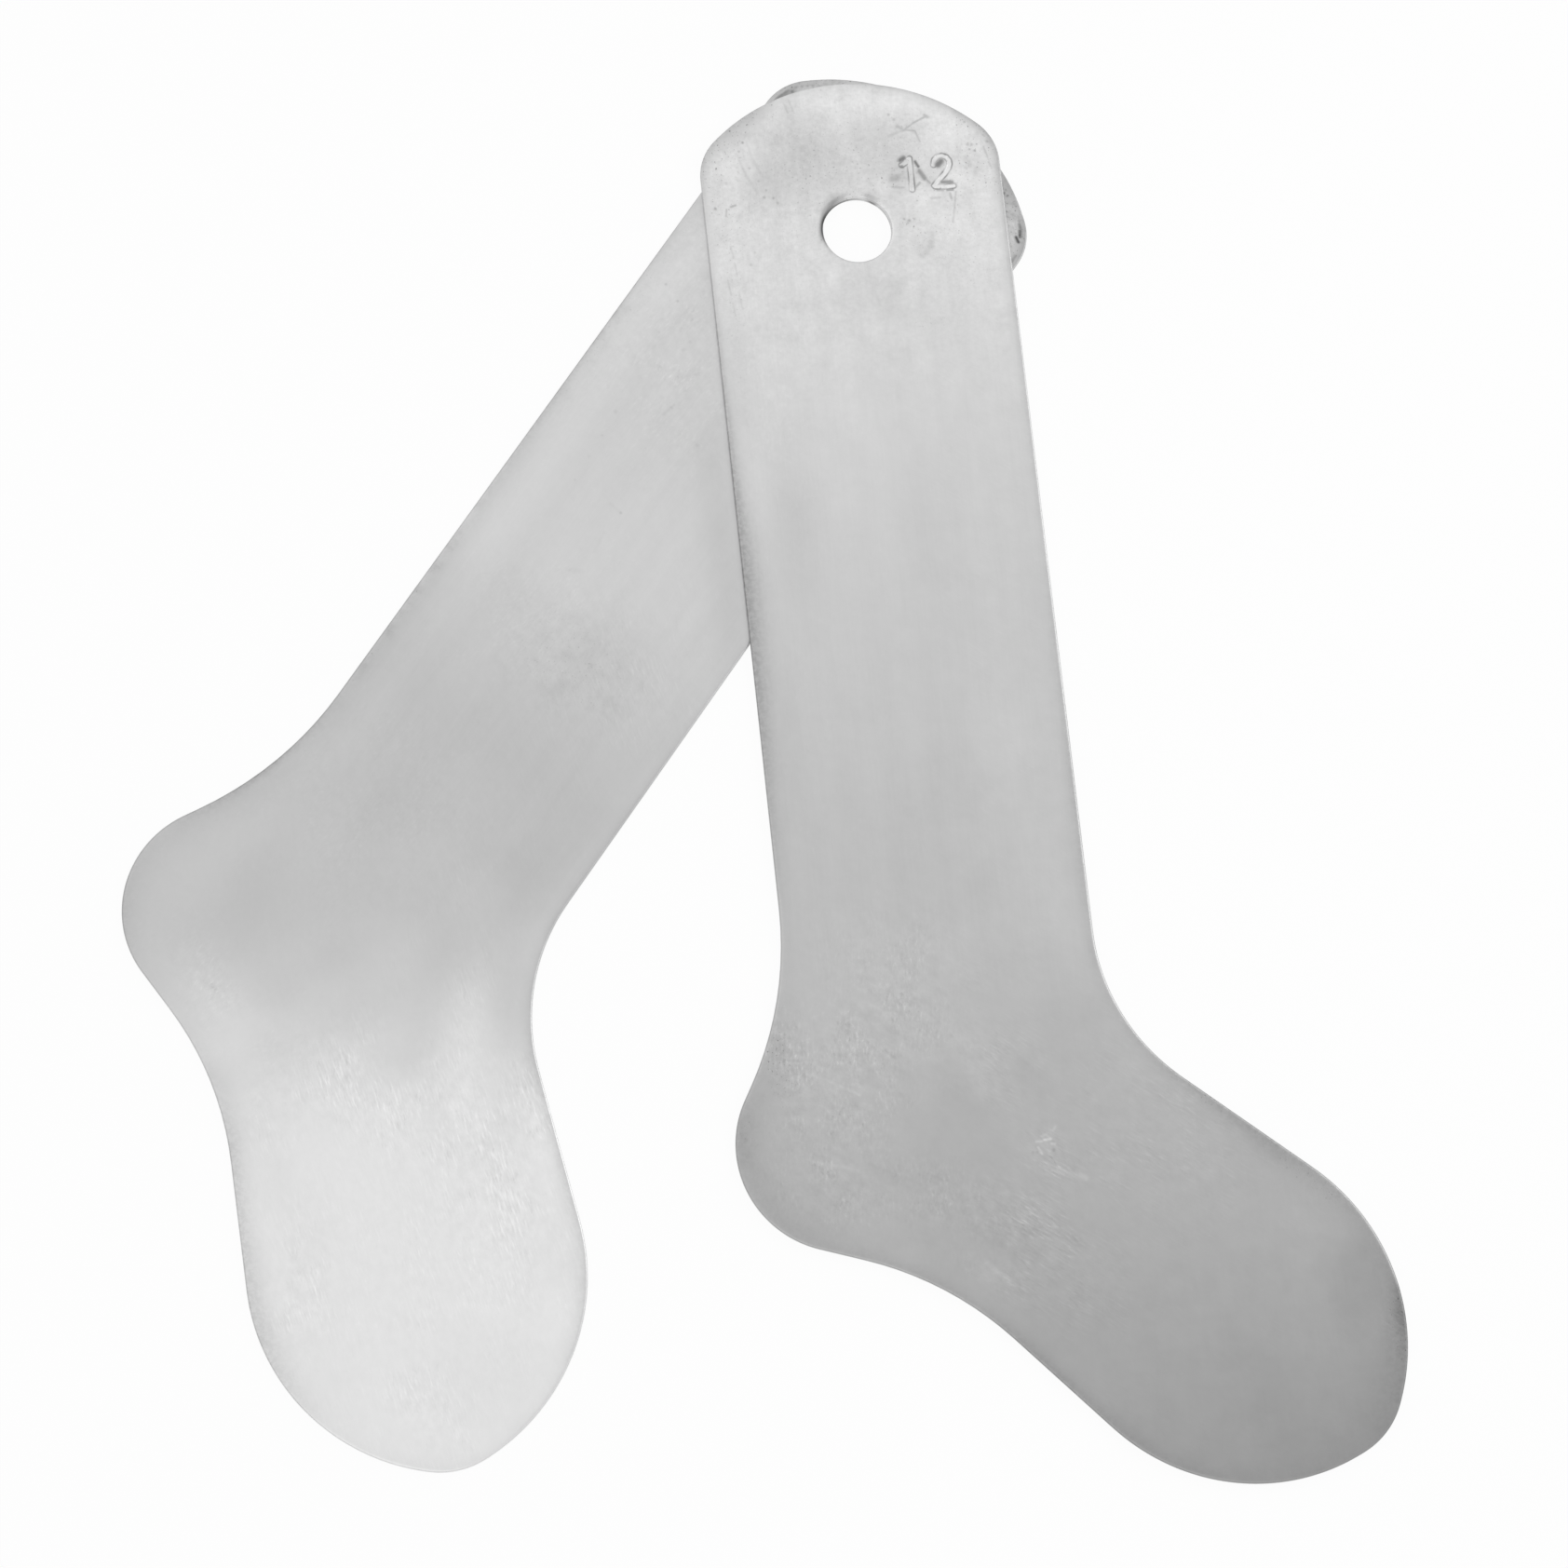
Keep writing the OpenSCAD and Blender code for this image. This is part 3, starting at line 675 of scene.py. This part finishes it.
def worn_and_shaded_sheet(name, shift):
    """Dull drawn aluminium with grain along the leg, rubs, stains and dirt in its marks, and painted shade along its
    edges, round its hole and on the number's walls.
    """
    finish = bpy.data.materials.new(name)
    finish.use_nodes = True
    n = Nodes(finish.node_tree)
    own_place = n.held("sheet_mm", "Vector")
    place = n.add("VectorMath", {"operation": "ADD"}, {0: own_place, 1: shift})
    tone, dirt, rub, stain, edge_shade = (n.held(kind) for kind in ("tone", "dirt", "rub", "stain", "edge_shade"))
    across, height_up = (n.add("SeparateXYZ", {}, {"Vector": own_place}, axis) for axis in "XY")
    crown = n.smooth(height_up, *FROM_TO["crown"])
    leg = n.smooth(height_up, *FROM_TO["leg"])
    heel = n.smooth(across, *FROM_TO["heel"])

    # Grain along the leg, short rubs along the foot that turn up the heel, and cloudiness, strongest at the crown
    pattern = {kind: n.noise(place, *look) for kind, look in PATTERNS.items()}
    grain, streak, mottle, cloud, smear, speck = (
        pattern[kind] for kind in ("grain", "streak", "mottle", "cloud", "smear", "speck"))
    crepe = pattern["crepe"] + (pattern["crepe_at_heel"] - pattern["crepe"]) * heel
    scuff = pattern["scuff"] + (pattern["scuff_at_heel"] - pattern["scuff"]) * heel
    here = n.smooth(pattern["rubbed"], *FROM_TO["rubbed"]) * rub
    light_rub = n.smooth(crepe, *FROM_TO["light_rub"]) * here
    dark_rub = n.smooth(scuff, *FROM_TO["dark_rub"]) * here
    pitted = n.smooth(stain * 0.8 + rub * 0.12, *FROM_TO["pitted"])
    pit = n.smooth(pattern["fleck"], *FROM_TO["pit"]) * pitted
    patchy = n.smooth(cloud, *FROM_TO["patchy"]) * stain
    # Painted shade along the edges, broken up by specks
    specked_edge_shade = edge_shade * (0.82 + n.smooth(speck, *FROM_TO["specked_edge_shade"]) * 0.36)
    worn = (1.0
            + (grain - PATTERN_MEAN) * (leg * (rub * 0.06 + 0.03) + 0.015)
            + (streak - PATTERN_MEAN) * (leg * 0.08)
            + (cloud - PATTERN_MEAN) * (crown * 0.50 + 0.05)
            + (smear - PATTERN_MEAN) * (crown * 0.24)
            + (speck - PATTERN_MEAN) * (crown * 0.30 + 0.02)
            + (mottle - PATTERN_MEAN) * (rub * 0.26 + 0.03)
            + (crepe - PATTERN_MEAN) * (here * 0.30)
            + light_rub * 0.10
            - dark_rub * 0.10)
    # Darkened by the marks' dirt, by the painted shade of the number's walls and the hole's rim, and by the painted
    # shade along the edges
    tone = tone * worn * (1.0 - pit * 0.5) * (1.0 - patchy * 0.24) * (1.0 - dirt * 0.9) * (1.0 - specked_edge_shade)
    gloss = (0.36
             + (cloud - PATTERN_MEAN) * 0.14
             + (grain - PATTERN_MEAN) * 0.08
             + dark_rub * 0.10
             + dirt * 0.3
             + patchy * 0.10)
    relief = grain * (leg * 0.3 + 0.1) + crepe * rub * 0.8 + speck * 0.3 - pit * 1.5
    bump = n.add("Bump", {}, {"Strength": BUMP_STRENGTH, "Distance": BUMP_METRES, "Height": relief}, "Normal")
    metal = n.add("BsdfPrincipled", {}, {
        "Base Color": tone, "Roughness": gloss, "Metallic": 1.0 - dirt * 0.6, "Normal": bump})
    n.add("OutputMaterial", {}, {"Surface": metal})
    return finish


edge = eased_ring(outer_edge("front_stretcher"), EDGE_STEP)
front = plate("front_plate_sheet", edge, 0.0, FRONT_LIFT, FRONT_WEAR_AND_SHADE)
rear = plate("rear_plate_sheet", edge, FAN, 0.0, REAR_WEAR_AND_SHADE)
front.data.materials.append(worn_and_shaded_sheet("front_sheet_worn_shaded", FRONT_SHIFT))
rear.data.materials.append(worn_and_shaded_sheet("rear_sheet_worn_shaded", REAR_SHIFT))
for piece, body, node, slot in ((front, "front_plate", "front_stretcher", "front_sheet"),
                                (rear, "rear_plate", "rear_stretcher", "rear_sheet")):
    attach(piece, body)
    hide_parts(node)

# Pale floor, white to the camera but keeping the plates' shadow
floor_mesh = bpy.data.meshes.new("floor")
corners = [(x * FLOOR_HALF, y * FLOOR_HALF, FLOOR_LEVEL) for x, y in ((-1, -1), (1, -1), (1, 1), (-1, 1))]
floor_mesh.from_pydata(corners, [], [(0, 1, 2, 3)])
floor = bpy.data.objects.new("floor", floor_mesh)
bpy.context.scene.collection.objects.link(floor)
paint = bpy.data.materials.new("floor_paint")
paint.use_nodes = True
n = Nodes(paint.node_tree)
camera_ray, glossy_ray, clear_ray = (
    n.add("LightPath", {}, out=ray) for ray in ("Is Camera Ray", "Is Glossy Ray", "Is Transmission Ray"))
pale = n.add("BsdfDiffuse", {}, {"Color": (0.9, 0.9, 0.9, 1)})
white = n.add("Emission", {}, {"Color": (1, 1, 1, 1), "Strength": 1.0})
seen = (camera_ray + glossy_ray + clear_ray) * FLOOR_WHITE
n.add("OutputMaterial", {}, {"Surface": n.add("MixShader", {}, {0: seen, 1: pale, 2: white})})
floor_mesh.materials.append(paint)

# Soft studio light, overhead a little stronger from the left and the far side
sky = bpy.data.worlds.new("studio")
bpy.context.scene.world = sky
sky.use_nodes = True
n = Nodes(sky.node_tree)
way = n.add("TexCoord", {}, out="Generated")
x, y, z = (n.add("SeparateXYZ", {}, {"Vector": way}, axis) for axis in "XYZ")
from_left = n.add("MapRange", {}, {"Value": x, "From Min": -0.10, "From Max": 0.26, "To Min": 0.10, "To Max": -0.25})
from_far = n.add("MapRange", {}, {"Value": y, "From Min": 0.0, "From Max": 0.45, "To Min": 0.0, "To Max": 0.18})
from_near = n.smooth(y, 0.0, -0.45) * 0.3
from_right = n.smooth(x, 0.3, 0.7) * 0.3
overhead = n.smooth(z, 0.35, 0.9)
glow = (from_left + from_far + from_near + from_right + SKY_ABOVE) * overhead + SKY_ROUND
n.add("OutputWorld", {}, {"Surface": n.add("Background", {}, {"Color": glow, "Strength": 1.0})})

soft_box = bpy.data.lights.new("soft_box", "AREA")
soft_box.shape, soft_box.size, soft_box.energy = "DISK", 1.2, 4.0
lamp = bpy.data.objects.new("soft_box", soft_box)
lamp.location = (1.25, 0.15, 0.95)
lit_place = Vector((0, -0.2, 0))
lamp.rotation_mode = "QUATERNION"
lamp.rotation_quaternion = (lit_place - lamp.location).to_track_quat("-Z", "Y")
bpy.context.scene.collection.objects.link(lamp)

# Camera above the near side, a little to the left
lens = bpy.data.cameras.new("camera")
lens.sensor_width, lens.lens = 36.0, 100.37
lens.clip_start, lens.clip_end = 0.05, 60.0
camera = bpy.data.objects.new("camera", lens)
right = Vector((0.99242, -0.10222, 0.06827))
up = Vector((0.08127, 0.96231, 0.25953))
ahead = Vector((0.09223, 0.25202, -0.96332))
stand = (-0.23401, -0.73112, 1.82856)
camera.matrix_world = Matrix.Translation(stand) @ Matrix((right, up, -ahead)).transposed().to_4x4()
bpy.context.scene.collection.objects.link(camera)
bpy.context.scene.camera = camera
bpy.context.scene.view_settings.view_transform = "Standard"

bpy.context.view_layer.update()
